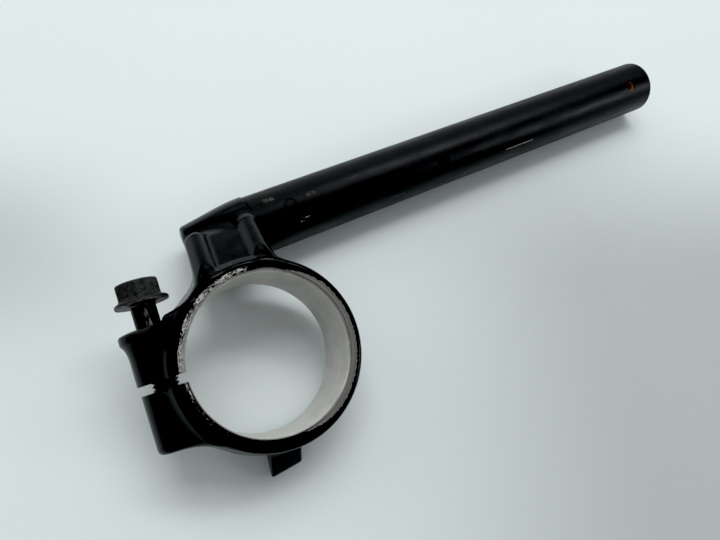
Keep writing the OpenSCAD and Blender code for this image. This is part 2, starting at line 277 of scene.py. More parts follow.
def neck_field(p, s):
    """Ribbed neck: a sloped floor between the ring and the boss, with two ribs."""
    back_slope, under_y, under_z = math.radians(75), 0.846, 0.533
    lowest, rib_foot, nose_back, inner_at = 22.0, 20.0, 2.1, 9.35
    base, out, side, _ = bar_frame(s)
    x, y, z = p[:, 0], p[:, 1], p[:, 2]
    slope = math.radians(s.floor_slope)
    crest_y, crest_z = s.bar_out + s.crest_back, s.crest_height - s.bar_drop
    floor = (y - crest_y) * math.sin(slope) + (z - crest_z) * math.cos(slope)
    back = (y - crest_y) * math.sin(back_slope) + (z - crest_z) * math.cos(back_slope)
    under = -under_y * (y - s.rim_radius - 0.5) - under_z * (z + s.web_height)
    section = meet(meet(floor, back, 1.3), z - s.web_height, 1.2)
    section = np.maximum(meet(section, under, 2.0), -z - lowest)
    q = p - base
    along, across = q @ out, q @ side
    lean = np.radians(4.0 + 9.5 * smoothstep(y, 30.0, 38.0))
    inner = -(x + inner_at + np.tan(lean) * (z - 4.0) + 0.9) * np.cos(lean)
    flare = math.radians(13.0)
    outer = (along - s.boss_end) * math.cos(flare) - across * math.sin(flare)
    wall = ring_wall(np.hypot(x, y), z, s) + 1.0
    neck = meet(join(np.maximum(inner, outer), wall, 8.5), section, 1.5)
    nose_y = crest_y - nose_back
    run = nose_y - rib_foot
    sink = (s.rib_radius - s.rib_height) / math.cos(slope)
    for at in (-s.inner_rib, s.outer_rib):
        nose = np.array([at, nose_y, crest_z + nose_back * math.tan(slope) - sink])
        line = np.array([-run * math.tan(math.radians(s.rib_lean)), -run, run * math.tan(slope)])
        t = np.clip((p - nose) @ line / (line @ line), 0.0, 1.0)
        rib = np.linalg.norm(p - nose - t[:, None] * line, axis=1) - s.rib_radius
        neck = join(neck, meet(rib, z - s.ring_height / 2, 3.0), 1.8)
    return meet(neck, along - s.boss_end, 0.5)


def boss_field(p, s):
    """The tapered boss with its collar and shoulder, and the spigot, round the bar's axis."""
    base, out, side, lift = bar_frame(s)
    q = p - base
    t = q @ out
    r = np.hypot(q @ side, q @ lift)
    run = s.boss_end - s.collar_length + s.boss_start
    taper = math.atan2(s.collar_radius - s.boss_radius, run)
    cone = (r - s.boss_radius - (t + s.boss_start) * math.tan(taper)) * math.cos(taper)
    boss = meet(meet(cone, r - s.collar_radius, 1.0), -t - s.boss_start, 1.4)
    past = t - s.boss_end
    spigot = meet(r - s.spigot_radius, past - s.spigot_length, 0.8)
    return meet(boss, past, 0.6), np.maximum(spigot, -past - 3.0)


def tab_field(p, s):
    y, z = p[:, 1], p[:, 2]
    slope, lean = math.radians(s.tab_slope), math.radians(s.tab_lean)
    aside = np.abs(p[:, 0] + s.tab_place - (y + s.tab_reach) * math.tan(lean))
    top = (z + s.web_height - s.tab_tip - (y + s.tab_reach) * math.tan(slope)) * math.cos(slope)
    block = meet((aside - s.tab_width / 2) * math.cos(lean), -s.tab_reach - y, 0.7)
    block = meet(meet(block, top, 0.9), -s.web_height - z, 0.7)
    return meet(block, y + s.rim_radius - 3.0, 0.5)


def casting_field(p, s):
    """The whole casting before it is bored and split."""
    low_fillet, seat_fillet = 7.0, 4.0
    origin, _, head, _ = bolt_frame(s)
    to_seat = smoothstep((p - origin) @ head, 6.0, 14.0)
    fillet = low_fillet - (low_fillet - seat_fillet) * to_seat
    body = join(ring_field(p, s), ears_field(p, s), fillet)
    body = join(body, neck_field(p, s), 1.3)
    boss, spigot = boss_field(p, s)
    body = join(body, boss, 3.0)
    return np.minimum(join(body, tab_field(p, s), 2.2), spigot)


def slope_of(field, p, h=0.02):
    """Gradient of a distance field."""
    g = np.empty_like(p)
    for axis in range(3):
        d = np.zeros(3)
        d[axis] = h
        g[:, axis] = (field(p + d) - field(p - d)) / (2 * h)
    return g


def normal_of(field, p):
    """Unit gradient of a distance field."""
    g = slope_of(field, p)
    return g / np.maximum(np.linalg.norm(g, axis=1), 1e-9)[:, None]


def onto_skin(field, p, steps=3):
    """Moves points onto the surface where the distance is zero."""
    for _ in range(steps):
        g = slope_of(field, p)
        gg = np.maximum((g * g).sum(1), 0.05)
        move = (field(p) / gg)[:, None] * g
        far = np.maximum(np.linalg.norm(move, axis=1) / 0.5, 1.0)
        p = p - move / far[:, None]
    return p


def summed(index, rows, size):
    """Sums of the rows that share an index."""
    return np.stack([np.bincount(index, column, minlength=size) for column in rows.T], 1)


def skin_mesh(field, low, high, step):
    """Quads over the zero surface of a field, evened out along that surface."""
    axes = [np.arange(a, b + c, c) for a, b, c in zip(low, high, step)]
    grid = np.stack(np.meshgrid(*axes, indexing="ij"), -1)
    shape = grid.shape[:3]
    value = field(grid.reshape(-1, 3)).reshape(shape)
    inside = value < 0.0
    cells = tuple(n - 1 for n in shape)
    total = np.zeros((int(np.prod(cells)), 3))
    count = np.zeros(len(total))
    quads = []
    for axis in range(3):
        lower = tuple(slice(None, -1) if i == axis else slice(None) for i in range(3))
        upper = tuple(slice(1, None) if i == axis else slice(None) for i in range(3))
        crossing = inside[lower] != inside[upper]
        index = np.argwhere(crossing)
        v0, v1 = value[lower][crossing], value[upper][crossing]
        point = grid[lower][crossing].copy()
        point[:, axis] += step[axis] * v0 / (v0 - v1)
        a, b = (axis + 1) % 3, (axis + 2) % 3
        corners = []
        for da, db in ((-1, -1), (0, -1), (0, 0), (-1, 0)):
            cell = index.copy()
            cell[:, a] += da
            cell[:, b] += db
            flat = np.ravel_multi_index(cell.T, cells)
            corners.append(flat)
            count += np.bincount(flat, minlength=count.size)
            total += summed(flat, point, count.size)
        quad = np.stack(corners, 1)
        back = ~inside[lower][crossing]
        quad[back] = quad[back][:, ::-1]
        quads.append(quad)
    used, quads = np.unique(np.concatenate(quads), return_inverse=True)
    quads = quads.reshape(-1, 4)
    p = onto_skin(field, total[used] / count[used][:, None])
    for _ in range(2):
        near = np.zeros_like(p)
        n = np.zeros(len(p))
        for i in range(4):
            for j in ((i + 1) % 4, (i + 3) % 4):
                near += summed(quads[:, i], p[quads[:, j]], len(p))
                n += np.bincount(quads[:, i], minlength=len(p))
        p = onto_skin(field, 0.5 * p + 0.5 * near / n[:, None], 2)
    return p, quads


# Meshes and how they are cut, shaded and handed over.


def mesh_object(name, points, faces, clean=False):
    """A new object from points in millimetres."""
    mesh = bpy.data.meshes.new(name)
    mesh.from_pydata(np.asarray(points) * MM, [], [list(map(int, f)) for f in faces])
    mesh.validate()
    if clean:
        b = bmesh.new()
        b.from_mesh(mesh)
        bmesh.ops.remove_doubles(b, verts=b.verts, dist=1e-7)
        bmesh.ops.recalc_face_normals(b, faces=b.faces)
        b.to_mesh(mesh)
        b.free()
    piece = bpy.data.objects.new(name, mesh)
    bpy.context.scene.collection.objects.link(piece)
    return piece


def place(points, origin, x, y, z):
    """Points given in a frame of their own, moved into the row frame."""
    return np.asarray(origin) + np.asarray(points) @ np.stack([x, y, z])


def lathe(profile, segments=96):
    """Closed turned form round Z from (radius, height) pairs; a pair on the axis closes it."""
    points, faces, rows = [], [], []
    for r, h in profile:
        if r < 1e-9:
            rows.append([len(points)])
            points.append((0.0, 0.0, h))
            continue
        start = len(points)
        for i in range(segments):
            a = 2 * math.pi * i / segments
            points.append((r * math.cos(a), r * math.sin(a), h))
        rows.append(list(range(start, start + segments)))
    pairs = list(zip(rows, rows[1:]))
    if len(rows[0]) > 1:
        pairs.append((rows[-1], rows[0]))
    for low, high in pairs:
        for i in range(segments):
            j = (i + 1) % segments
            if len(low) == 1:
                faces.append((low[0], high[j], high[i]))
            elif len(high) == 1:
                faces.append((low[i], low[j], high[0]))
            else:
                faces.append((low[i], low[j], high[j], high[i]))
    return points, faces


def turned_piece(name, profile, segments, *axes):
    """A lathe form as an object, in the row frame or in the frame that axes give."""
    points, faces = lathe(profile, segments)
    return mesh_object(name, place(points, *axes) if axes else points, faces, clean=True)


def block(low, high):
    """Points and faces of a box."""
    corners = [(x, y, z) for z in (low[2], high[2]) for y in (low[1], high[1])
               for x in (low[0], high[0])]
    faces = [(0, 2, 3, 1), (4, 5, 7, 6), (0, 1, 5, 4), (2, 6, 7, 3), (0, 4, 6, 2), (1, 3, 7, 5)]
    return corners, faces


def carve(piece, cutters, operation="DIFFERENCE"):
    """Cuts each cutter out of the piece, or welds it on, and removes the cutters."""
    for cutter in cutters:
        change = piece.modifiers.new("carve", "BOOLEAN")
        change.operation = operation
        change.solver = "MANIFOLD"
        change.object = cutter
    bpy.context.view_layer.update()
    graph = bpy.context.evaluated_depsgraph_get()
    mesh = bpy.data.meshes.new_from_object(piece.evaluated_get(graph))
    piece.modifiers.clear()
    old, piece.data = piece.data, mesh
    bpy.data.meshes.remove(old)
    mesh.name = piece.name
    for cutter in cutters:
        data = cutter.data
        bpy.data.objects.remove(cutter)
        bpy.data.meshes.remove(data)


def shade(piece, degrees):
    """Smooth shading with sharp edges above an angle."""
    mesh = piece.data
    mesh.polygons.foreach_set("use_smooth", np.ones(len(mesh.polygons), bool))
    mesh.set_sharp_from_angle(angle=math.radians(degrees))
    mesh.update()


def read(items, name, kind, width=1):
    """One value, or a row of values, of every vertex, corner or face."""
    found = np.empty(len(items) * width, kind)
    items.foreach_get(name, found)
    return found.reshape(-1, width) if width > 1 else found


def vertices_of(piece):
    """The piece's points in millimetres."""
    return read(piece.data.vertices, "co", np.float32, 3).astype(float) / MM


def true_normals(piece, field):
    """Gives the cast skin the normals of the field it was made from."""
    mesh = piece.data
    corner = read(mesh.loops, "vertex_index", np.int32)
    p = vertices_of(piece)
    on_skin = np.abs(field(p)) < 0.01
    face_n = read(mesh.polygons, "normal", np.float32, 3)
    size = read(mesh.polygons, "loop_total", np.int32)
    owner = np.repeat(np.arange(len(size)), size)
    n = normal_of(field, p)[corner]
    keep = on_skin[corner] & ((n * face_n[owner]).sum(1) > 0.8)
    mesh.normals_split_custom_set(np.where(keep[:, None], n, 0.0).tolist())


def finish_piece(piece, node, material):
    """Hands a piece to the frame in place of its CAD node."""
    piece.data.materials.clear()
    piece.data.materials.append(material)
    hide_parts(node)
    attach(piece, "root")


# Materials and the node groups that they share.


class Wiring:
    """Adds nodes to a tree and links them."""

    def __init__(self, tree):
        self.tree = tree

    def node(self, kind, **settings):
        made = self.tree.nodes.new(kind)
        for key, value in settings.items():
            setattr(made, key, value)
        return made

    def put(self, socket, value):
        """Links a socket, or gives it a number, a vector or a colour."""
        if isinstance(value, bpy.types.NodeSocket):
            self.tree.links.new(value, socket)
        elif isinstance(value, (int, float)):
            socket.default_value = value
        else:
            socket.default_value = (*value, 1.0) if socket.type == "RGBA" else tuple(value)

    def fed(self, made, *values):
        """The node, with the values on its first sockets."""
        for socket, value in zip(made.inputs, values):
            self.put(socket, value)
        return made

    def maths(self, operation, *values, clamp=False):
        made = self.node("ShaderNodeMath", operation=operation, use_clamp=clamp)
        return self.fed(made, *values).outputs[0]

    def chain(self, operation, values):
        total = values[0]
        for value in values[1:]:
            total = self.maths(operation, total, value)
        return total

    def times(self, *values):
        return self.chain("MULTIPLY", values)

    def plus(self, *values):
        return self.chain("ADD", values)

    def most(self, *masks):
        return self.chain("MAXIMUM", masks)

    def minus(self, a, b):
        return self.maths("SUBTRACT", a, b)

    def without(self, mask):
        return self.minus(1.0, mask)

    def vector(self, operation, *values):
        made = self.fed(self.node("ShaderNodeVectorMath", operation=operation), *values)
        return made.outputs["Value" if operation in {"DOT_PRODUCT", "LENGTH"} else "Vector"]

    def scaled(self, vector, factor):
        made = self.node("ShaderNodeVectorMath", operation="SCALE")
        self.put(made.inputs[0], vector)
        self.put(made.inputs["Scale"], factor)
        return made.outputs["Vector"]

    def raised(self, z):
        """A vector along Z."""
        return self.fed(self.node("ShaderNodeCombineXYZ"), 0.0, 0.0, z).outputs[0]

    def here(self):
        """Place on the object, in millimetres."""
        return self.scaled(self.node("ShaderNodeTexCoord").outputs["Object"], 1 / MM)

    def kept(self, name):
        """A value kept for each vertex of the mesh."""
        return self.node("ShaderNodeAttribute", attribute_name=name).outputs["Fac"]

    def step(self, value, low, high, start=0.0, end=1.0):
        """Goes smoothly from start to end as the value goes from low to high."""
        made = self.node("ShaderNodeMapRange", interpolation_type="SMOOTHSTEP")
        return self.fed(made, value, low, high, start, end).outputs["Result"]

    def band(self, value, low, high, soft):
        """1 between low and high, 0 outside."""
        rise = self.step(value, low - soft, low + soft)
        fall = self.step(value, high - soft, high + soft, 1.0, 0.0)
        return self.times(rise, fall)

    def noise(self, vector, scale, detail=3.0, roughness=0.5):
        made = self.node("ShaderNodeTexNoise")
        for name, value in zip(("Vector", "Scale", "Detail", "Roughness"),
                               (vector, scale, detail, roughness)):
            self.put(made.inputs[name], value)
        return made.outputs["Fac"]

    def mix(self, mask, a, b):
        made = self.node("ShaderNodeMix", data_type="RGBA")
        for socket, value in ((0, mask), (6, a), (7, b)):
            self.put(made.inputs[socket], value)
        return made.outputs[2]

    def group(self, name, **values):
        made = self.node("ShaderNodeGroup", node_tree=bpy.data.node_groups[name])
        for key, value in values.items():
            self.put(made.inputs[key.capitalize()], value)
        return made.outputs


def new_group(name, inputs, outputs):
    """An empty shader node group with named sockets: returns its wiring, inputs and outputs."""
    tree = bpy.data.node_groups.new(name, "ShaderNodeTree")
    for way, labels in (("INPUT", inputs), ("OUTPUT", outputs)):
        for label in labels:
            kind = "NodeSocketVector" if label == "At" else "NodeSocketFloat"
            tree.interface.new_socket(label, in_out=way, socket_type=kind)
    w = Wiring(tree)
    return w, w.node("NodeGroupInput").outputs, w.node("NodeGroupOutput").inputs


def place_group(name, origin, x, y, z):
    """Radius, turn in degrees and height of a point round an axis, in millimetres."""
    w, _, out = new_group(name, [], ["Radius", "Turn", "Height"])
    here = w.vector("SUBTRACT", w.here(), origin)
    px, py = w.vector("DOT_PRODUCT", here, x), w.vector("DOT_PRODUCT", here, y)
    w.put(out["Radius"], w.maths("SQRT", w.plus(w.times(px, px), w.times(py, py))))
    w.put(out["Turn"], w.times(w.maths("ARCTAN2", py, px), 180 / math.pi))
    w.put(out["Height"], w.vector("DOT_PRODUCT", here, z))


def make_groups(s):
    """The node groups that the materials share."""
    place_group("Round the bore", (0, 0, 0), (1, 0, 0), (0, 1, 0), (0, 0, 1))
    base, out, side, lift = bar_frame(s)
    place_group("Along the bar", base, side, lift, out)
    origin, away, head, up = bolt_frame(s)
    place_group("Along the bolt", origin, away, up, head)

    w, given, out = new_group("Chips", ["At", "Where", "Scale"], ["Mask"])
    grain = w.noise(given["At"], given["Scale"], 5.0, 0.62)
    level = w.step(given["Where"], 0.0, 1.0, 1.0, 0.42)
    w.put(out["Mask"], w.step(w.minus(grain, level), 0.0, 0.05))

    w, given, out = new_group("Dust", ["Amount", "Scale"], ["Mask"])
    here = w.here()
    cloud = w.step(w.noise(here, w.times(given["Scale"], 0.25), 4.0, 0.6), 0.4, 0.75)
    specks = w.step(w.noise(here, given["Scale"], 3.0, 0.7), 0.58, 0.74)
    amount = w.plus(w.times(cloud, 0.5), specks)
    w.put(out["Mask"], w.maths("MULTIPLY", given["Amount"], amount, clamp=True))


def new_material(name):
    """A material with its wiring and the inputs of its shader."""
    material = bpy.data.materials.new(name)
    material.use_nodes = True
    material.node_tree.nodes.clear()
    w = Wiring(material.node_tree)
    shader = w.node("ShaderNodeBsdfPrincipled")
    end = w.node("ShaderNodeOutputMaterial")
    w.tree.links.new(shader.outputs[0], end.inputs["Surface"])
    return material, w, shader.inputs


def dimmed(rgb, factor):
    """A colour made darker or lighter."""
    return tuple(channel * factor for channel in rgb)


def bumped(w, *layers):
    """Normal of heights in millimetres, given as (height, depth) pairs."""
    bump = w.node("ShaderNodeBump")
    bump.inputs["Strength"].default_value = 1.0
    bump.inputs["Distance"].default_value = MM
    w.put(bump.inputs["Height"], w.plus(*(w.times(height, depth) for height, depth in layers)))
    return bump.outputs[0]


def clamp_material(s, f):
    """Gloss black paint on the casting, bare where it is bored, faced and chipped.

    Turns are degrees round the bore from +X, radii and heights are millimetres.
    """
    material, w, shader = new_material("Clamp_paint")
    here = w.here()
    bore, bolt = w.group("Round the bore"), w.group("Along the bolt")
    radius, turn, height = bore["Radius"], bore["Turn"], bore["Height"]
    edge, cut_face = w.kept("edge"), w.kept("cut")
    mouth, rim_top = BORE_R + s.bore_chamfer, s.ring_height / 2
    slit_turn, land_r, land_wider = s.split_angle, BORE_R + 0.4, 2.0
    top = w.step(height, rim_top - 0.5, rim_top - 0.05)
    past_slit = w.step(turn, slit_turn, slit_turn + 1.0)

    round_way = w.scaled(w.vector("MULTIPLY", here, (1.0, 1.0, 0.0)), 0.03)
    tool_marks = w.raised(w.times(w.plus(radius, height), 4.0))
    fine = w.noise(w.vector("ADD", round_way, tool_marks), 1.0, 4.0, 0.65)
    stains = w.noise(w.vector("MULTIPLY", here, (0.16, 0.16, 0.09)), 1.0, 4.0, 0.6)
    streaks = w.step(w.plus(w.times(fine, 0.55), w.times(stains, 0.45)), 0.3, 0.7)
    along_rim = w.vector("ADD", w.vector("MULTIPLY", here, (1.1, 1.1, 0.0)),
                         w.raised(w.times(radius, 4.5)))

    # The faced land on the rim, wider to the right of the bore.
    ragged = w.times(w.minus(w.noise(here, 1.1, 4.0, 0.6), 0.5), 1.6)
    land_edge = w.plus(w.times(w.band(turn, -80.0, 48.0, 22.0), land_wider), land_r)
    land = w.step(w.plus(w.minus(radius, land_edge), ragged), -0.12, 0.12, 1.0, 0.0)
    land = w.times(land, w.step(radius, mouth - 0.1, mouth + 0.1), top)

    # Paint rubbed off in flecks from the neck to the split, and just past it.
    rubbed = w.times(w.band(turn, 78.0, 180.0, 12.0), w.band(radius, 24.6, 27.7, 0.7))
    by_slit = w.times(w.most(past_slit, w.step(turn, -172.0, -156.0, 1.0, 0.0)), 0.86,
                      w.band(radius, 25.4, 26.9, 0.5))
    wear = w.step(w.noise(here, 0.22, 3.0), 0.35, 0.62, 0.7, 0.84)
    rubbed = w.times(w.most(rubbed, by_slit), w.times(top, wear))
    flecks = w.group("Chips", at=along_rim, where=rubbed, scale=1.0)["Mask"]
    rim = w.times(w.band(radius, 24.9, 26.4, 0.2), w.times(top, 0.55))
    rim_chips = w.group("Chips", at=along_rim, where=rim, scale=0.7)["Mask"]
    worn = w.group("Chips", at=here, where=w.times(edge, 0.25), scale=0.8)["Mask"]

    # Paint that was left on the bore's chamfer, low on the left.
    low_left = w.most(w.step(turn, -95.0, -60.0, 1.0, 0.0), past_slit)
    chamfer_paint = w.times(low_left, w.step(radius, BORE_R + 0.25, BORE_R + 0.45),
                            w.step(w.noise(along_rim, 0.6, 4.0, 0.6), 0.33, 0.39))
    machined = w.times(cut_face, w.without(chamfer_paint))
    chamfer = w.times(machined, w.step(radius, BORE_R + 0.05, BORE_R + 0.15))
    bare = w.most(machined, land, flecks, rim_chips, worn)

    seat_dust = w.times(w.step(bolt["Height"], 15.0, 17.5),
                        w.step(bolt["Radius"], 7.0, 11.0, 0.16, 0.0),
                        w.step(w.noise(here, 0.3, 3.0), 0.25, 0.75))
    dust = w.most(w.group("Dust", amount=0.015, scale=0.5)["Mask"], seat_dust)
    metal = w.mix(streaks, dimmed(f.bare_metal, 0.68), f.bare_metal)
    # The faced land is machined aluminium, but it takes a far darker copy of the bare metal than
    # the bore: a painted dark reflection of the dim room overhead, varied by tool marks.
    faced = w.mix(fine, dimmed(f.bare_metal, 0.04), dimmed(f.bare_metal, 0.42))
    painted = w.mix(dust, f.clamp_paint, f.dust)
    w.put(shader["Base Color"], w.mix(bare, painted, w.mix(land, metal, faced)))
    w.put(shader["Metallic"], w.plus(w.times(bare, 0.3), w.times(chamfer, 0.5)))
    shader["IOR"].default_value = 1.28
    gloss = w.step(w.noise(here, 0.25, 3.0), 0.3, 0.7, 0.2, 0.27)
    dull = w.step(streaks, 0.0, 1.0, 0.3, 0.42)
    rough = w.fed(w.node("ShaderNodeMix"), bare)
    w.put(rough.inputs[2], w.plus(gloss, w.times(dust, 0.4)))
    w.put(rough.inputs[3], w.minus(dull, w.times(chamfer, 0.14)))
    w.put(shader["Roughness"], rough.outputs[0])
    w.put(shader["Normal"], bumped(
        w, (w.noise(here, 0.9, 3.0), 0.006), (bare, -0.04), (w.times(fine, cut_face), 0.006)))
    return material


def bar_material(s, f):
    """Satin black paint on the tube, rusty at its cut edges and inside."""
    scratches = ((134.4, 7.3, 136.2, 0.9, 0.15), (36.4, 1.1, 119.0, 0.8, 0.1),
                 (34.0, 0.8, 124.0, 0.8, 0.1))
    smudges = ((129.0, 5.5, 157.0, 0.9, 0.2), (74.2, 3.2, 148.0, 0.8, 0.2),
               (25.5, 2.0, 63.0, 4.0, 0.6), (40.5, 1.6, 80.0, 3.0, 0.6))
    stamp_at, stamp_turn, stamp_inner, stamp_outer = 32.0, 86.4, 1.72, 2.12
    material, w, shader = new_material("Bar_paint")
    here = w.here()
    bar = w.group("Along the bar")
    radius, turn, along = bar["Radius"], bar["Turn"], bar["Height"]
    inside = w.step(radius, BAR_R - 0.75, BAR_R - 0.45, 1.0, 0.0)
    squeezed = w.scaled(bar_frame(s)[1], w.times(along, 0.8))
    rubs = w.noise(w.vector("SUBTRACT", here, squeezed), 0.26, 5.0, 0.6)

    def marks(patches):
        """1 inside patches of the tube: place along it, half length, turn, half turn, softness."""
        return w.most(*(
            w.times(w.band(along, at - half, at + half, soft),
                    w.band(turn, facing - half_turn, facing + half_turn, soft * 5.0))
            for at, half, facing, half_turn, soft in patches))

    blotches = w.step(w.noise(here, 1.6, 4.0, 0.6), 0.42, 0.62, 0.0, 0.3)
    chips = w.group("Chips", at=here, where=marks(scratches), scale=1.8)["Mask"]
    dust = w.most(w.group("Dust", amount=0.02, scale=0.6)["Mask"],
                  w.times(marks(smudges), blotches))
    arc = w.times(w.minus(turn, stamp_turn), math.radians(BAR_R))
    beside = w.minus(along, stamp_at)
    from_stamp = w.maths("SQRT", w.plus(w.times(arc, arc), w.times(beside, beside)))
    stamped = w.band(from_stamp, stamp_inner, stamp_outer, 0.1)
    wall = w.step(w.maths("ABSOLUTE", w.minus(radius, TUBE_BORE_R)), 0.05, 0.3)
    near_end = w.step(along, s.boss_end + 170.0, s.boss_end + 178.0)
    old_rust = w.mix(w.step(w.noise(here, 0.6, 5.0, 0.65), 0.4, 0.6),
                     dimmed(f.rust, 0.3), dimmed(f.rust, 0.12))
    rust = w.mix(w.times(wall, near_end, 0.9), old_rust, dimmed(f.rust, 1.5))
    painted = w.mix(chips, w.mix(dust, f.bar_paint, f.dust), f.bare_metal)
    w.put(shader["Base Color"], w.mix(inside, painted, rust))
    w.put(shader["Metallic"], w.times(chips, 0.8))
    gloss = w.step(rubs, 0.3, 0.7, 0.36, 0.5)
    w.put(shader["Roughness"], w.most(gloss, w.times(inside, 0.8), w.times(chips, 0.5)))
    shader["Specular IOR Level"].default_value = 0.28
    w.put(shader["Normal"], bumped(
        w, (w.noise(here, 0.8, 3.0), 0.008), (rubs, 0.01), (chips, -0.02), (stamped, -0.25),
        (w.times(w.noise(here, 1.5, 4.0), inside), 0.15)))
    return material


def bolt_material(s, f):
    """Dark oxide on forged steel, worn at the edges and dusty, with a light streak along the top
    of the shank that is partly dust and partly a painted highlight.
    """
    material, w, shader = new_material("Bolt_steel")
    here = w.here()
    bolt = w.group("Along the bolt")
    under_head = s.seat_height + 7.4
    rod = w.step(bolt["Height"], under_head, under_head + 0.5, 1.0, 0.0)
    worn = w.group("Chips", at=here, where=w.kept("edge"), scale=1.3)["Mask"]
    cloud = w.step(w.noise(here, 0.8, 4.0, 0.6), 0.35, 0.65)
    streak = w.noise(w.vector("MULTIPLY", here, (2.0, 0.5, 2.0)), 0.8, 4.0)
    # A light dust-coloured streak along the upward side of the shank: partly dust, partly a
    # painted highlight.
    dust_and_highlight_streak = w.times(rod, w.band(bolt["Turn"], 82.0, 108.0, 8.0), w.step(streak, 0.42, 0.62))
    on_head = w.times(w.group("Dust", amount=0.16, scale=1.1)["Mask"], w.without(rod))
    # This mask also carries the painted highlight on the shank.
    dust = w.most(on_head, w.times(dust_and_highlight_streak, 0.7))
    oxide = w.mix(cloud, f.oxide, dimmed(f.oxide, 1.9))
    oxide = w.mix(rod, oxide, dimmed(f.oxide, 0.3))
    steel = w.mix(w.times(worn, 0.6), oxide, dimmed(f.bare_metal, 0.4))
    w.put(shader["Base Color"], w.mix(dust, steel, f.dust))
    w.put(shader["Metallic"], w.times(w.without(dust), 0.6))
    w.put(shader["Roughness"], w.step(w.plus(cloud, dust), 0.0, 1.5, 0.36, 0.7))
    w.put(shader["Normal"], bumped(
        w, (w.noise(here, 1.6, 4.0, 0.6), 0.05), (dust, 0.03), (worn, -0.03)))
    return material


def floor_material(f, across, far):
    """Pale board, unevenly toned, with painted shade to the right and in a band on the left near
    the part; seen from below it isn't there.
    """
    material, w, shader = new_material("Floor")
    here = w.node("ShaderNodeTexCoord").outputs["Object"]
    patch = w.times(w.step(w.noise(here, 6.0, 3.0), 0.3, 0.7), 0.015)
    aside, beyond = w.vector("DOT_PRODUCT", here, across), w.vector("DOT_PRODUCT", here, far)
    # Painted shade: the floor is darker to the right and in a band on the left, standing in for
    # light falling off and a shadow on the board; it fades out away from the part.
    right = w.times(w.step(aside, 0.0, 0.15), w.step(beyond, 0.03, 0.13, 0.38, 0.0))
    left = w.times(w.step(aside, -0.1, -0.03, 0.45, 0.0), w.band(beyond, 0.03, 0.06, 0.04))
    near = w.step(w.vector("LENGTH", here), 0.2, 0.6, 1.0, 0.0)
    tone_and_painted_shade = w.plus(patch, w.times(near, w.plus(left, right)))
    w.put(shader["Base Color"], w.mix(tone_and_painted_shade, f.floor, (0.0, 0.0, 0.0)))
    shader["Roughness"].default_value = 0.6
    shader["Specular IOR Level"].default_value = 0.3
    behind = w.node("ShaderNodeNewGeometry").outputs["Backfacing"]
    w.put(shader["Alpha"], w.without(behind))
    return material


# Pieces of the handlebar, and the stage.


def vertex_mask(piece, name, values):
    """Keeps a value for each vertex on the mesh."""
    layer = piece.data.attributes.new(name, "FLOAT", "POINT")
    layer.data.foreach_set("value", np.asarray(values, np.float32))


def edge_mask(field, p, reach, low, high):
    """How much the skin stands out as an outer edge, from 0 to 1."""
    bend = field(p - normal_of(field, p) * reach) + reach
    return smoothstep(bend, low, high)


class CLIPON_OT_clamp(bpy.types.Operator):
    """Casts the clamp, bores and splits it, and paints it"""

    bl_idname = "clipon.clamp"
    bl_label = "Clamp"

    def execute(self, context):
        s = sizes_of(context.scene.clipon_clamp)
        f = context.scene.clipon_finishes

        def field(p):
            return casting_field(p, s)

        points, quads = skin_mesh(field, (-42.0, -40.0, -31.0), (50.0, 58.0, 14.0), [s.grid] * 3)
        clamp = mesh_object("Cast_clamp", points, quads)
        carve(clamp, self.cutters(s))
        p = vertices_of(clamp)
        vertex_mask(clamp, "cut", smoothstep(-field(p), 0.004, 0.03))
        vertex_mask(clamp, "edge", edge_mask(field, p, 0.8, 0.05, 0.3))
        shade(clamp, 32)
        true_normals(clamp, field)
        finish_piece(clamp, "clamp", clamp_material(s, f))
        return {"FINISHED"}

    def cutters(self, s):
        """Forms of the bore, the split, the clearance hole and the tapped hole."""
        half, c, far = s.ring_height / 2, s.bore_chamfer, 2.0
        clear_r, tapped_r, mouth_r, mouth = 4.3, 4.0, 4.8, 0.8
        bore = turned_piece("bore", [
            (0, -half - far), (BORE_R + c + far, -half - far), (BORE_R, -half + c),
            (BORE_R, half - c), (BORE_R + c + far, half + far), (0, half + far)], 256)
        origin, away, head, up = bolt_frame(s)
        middle, end = s.split_shift, -s.tapped_end
        low = (BORE_R - 4 - s.bolt_out, middle - s.split_width / 2, -2 * half)
        high = (s.seat_radius + 8, middle + s.split_width / 2, 2 * half)
        points, faces = block(low, high)
        slit = mesh_object("slit", place(points, origin, away, head, up), faces, clean=True)
        clear = turned_piece("clear", [(0, middle), (clear_r, middle), (clear_r, 30), (0, 30)], 64,
                             origin, up, away, head)
        tapped = turned_piece("tapped", [
            (0, end - far), (mouth_r, end - far), (mouth_r, end), (tapped_r, end + mouth),
            (tapped_r, middle), (0, middle)], 64, origin, up, away, head)
        return [bore, slit, clear, tapped]


